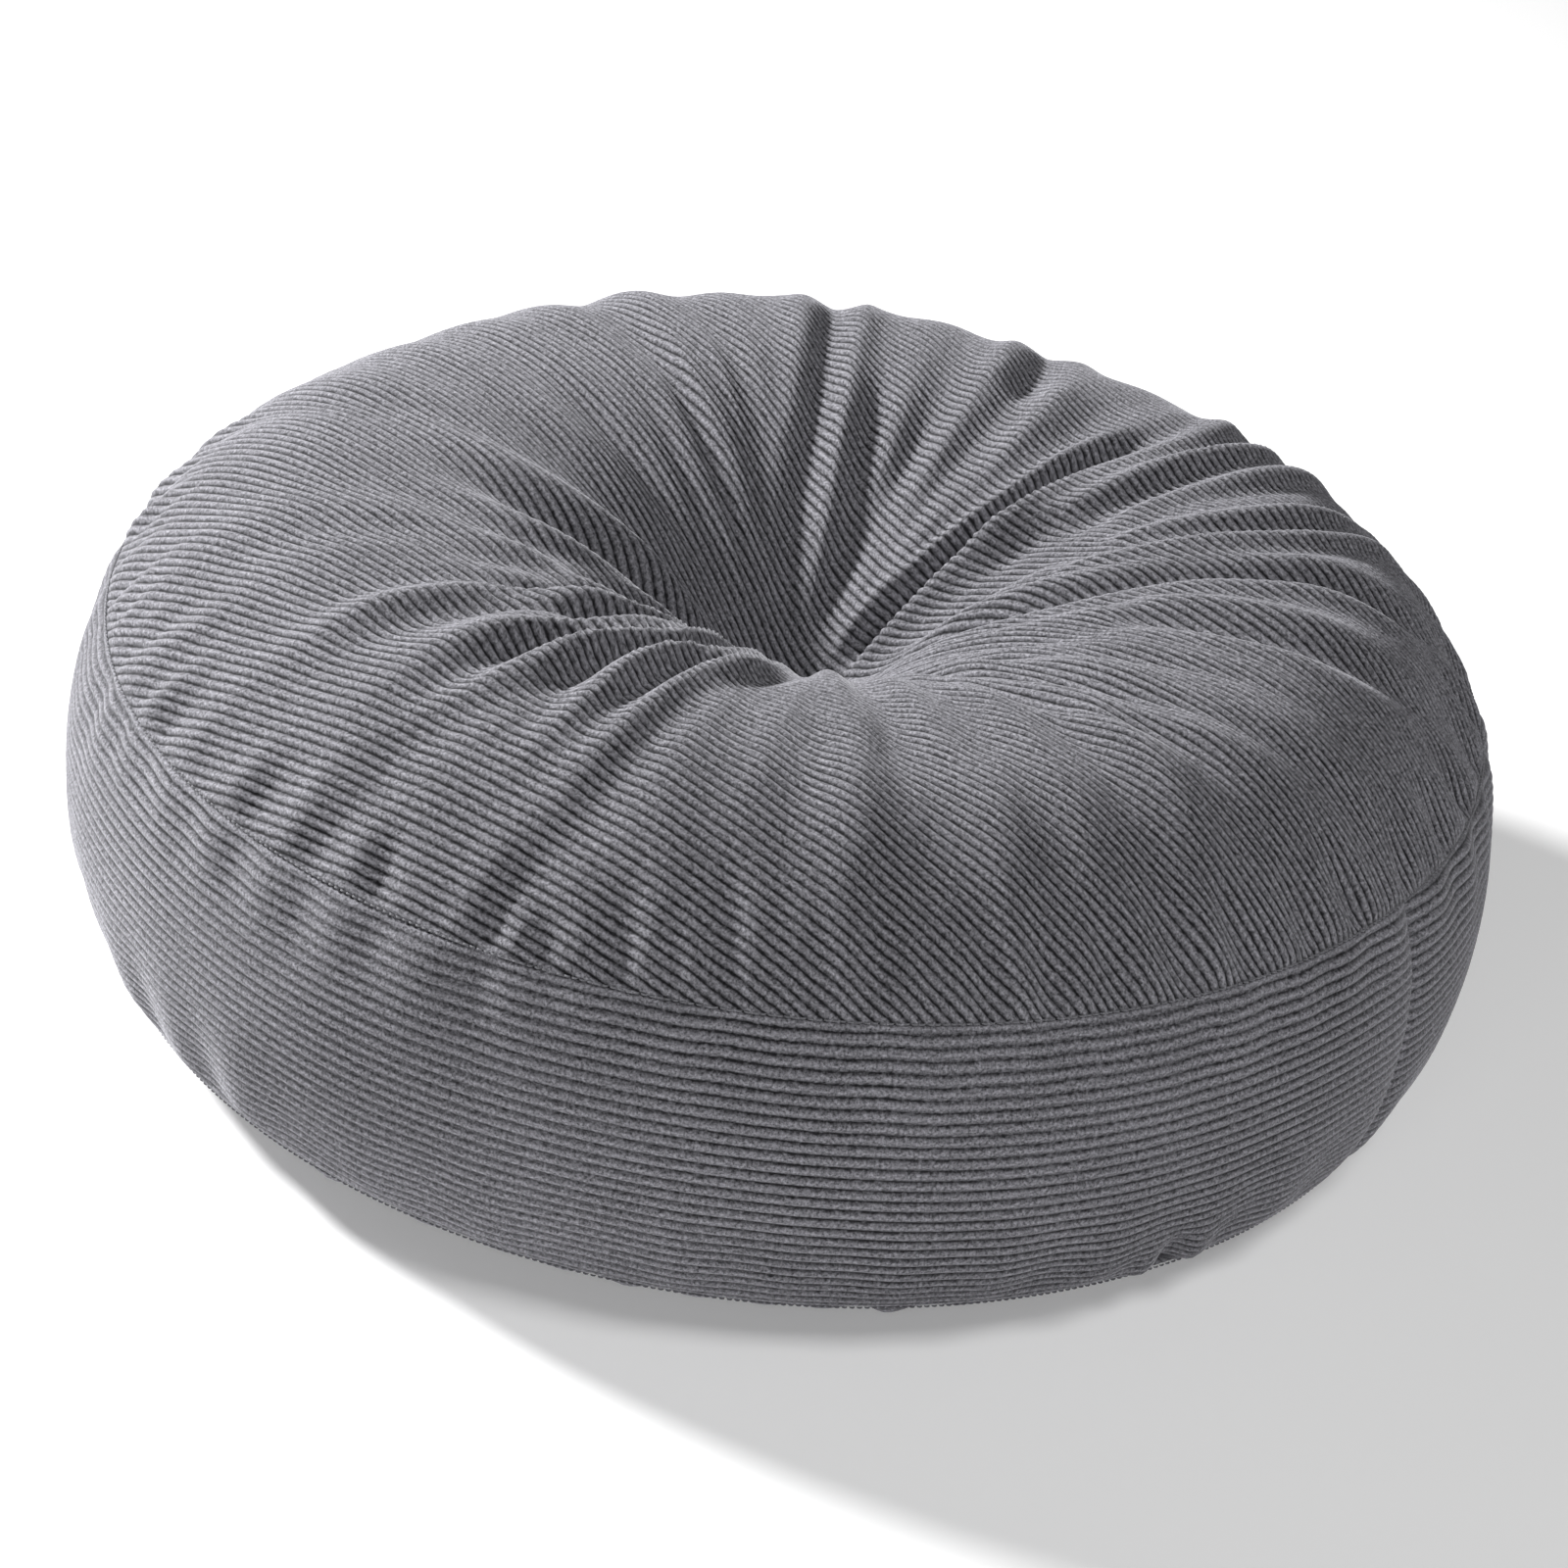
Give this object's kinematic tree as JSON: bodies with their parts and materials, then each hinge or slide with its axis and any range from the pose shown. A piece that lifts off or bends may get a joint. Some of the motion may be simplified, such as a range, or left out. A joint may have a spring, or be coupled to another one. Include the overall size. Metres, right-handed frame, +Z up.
{
  "type": "floor cushion",
  "caption": "Round, thick floor cushion in grey corduroy with a flat side band and a deep button-tufted centre that gathers the top into radial folds.",
  "frame": {"origin": "centre of the foot ring on the floor, under the tuft", "axes": "+Z up through the tuft; the band's join is at -30 degrees from +X, front right seen from -Y"},
  "size_m": [0.55, 0.55, 0.198],
  "materials": {
    "corduroy": "cool grey wide-wale corduroy with a soft, slightly fuzzy pile",
    "thread": "grey spun polyester sewing thread",
    "cambric": "undyed, plain-woven liner cloth",
    "fibre": "white, blown polyester fibre",
    "twine": "waxed, twisted upholstery twine",
    "button_metal": "plain pressed steel"
  },
  "bodies": {
    "root": {"top_panel": "corduroy", "side_band": "corduroy", "bottom_panel": "corduroy", "top_seam_thread": "thread", "bottom_seam_thread": "thread", "band_join_thread": "thread", "liner_top": "cambric", "liner_wall": "cambric", "liner_bottom": "cambric", "fibre_filling": "fibre", "tuft_twine": "twine", "twine_knot": "twine", "top_button_cover": "corduroy", "top_button_shell": "button_metal", "top_button_plate": "button_metal", "top_button_eye": "button_metal", "bottom_button_cover": "corduroy", "bottom_button_shell": "button_metal", "bottom_button_plate": "button_metal", "bottom_button_eye": "button_metal"}
  },
  "joints": []
}
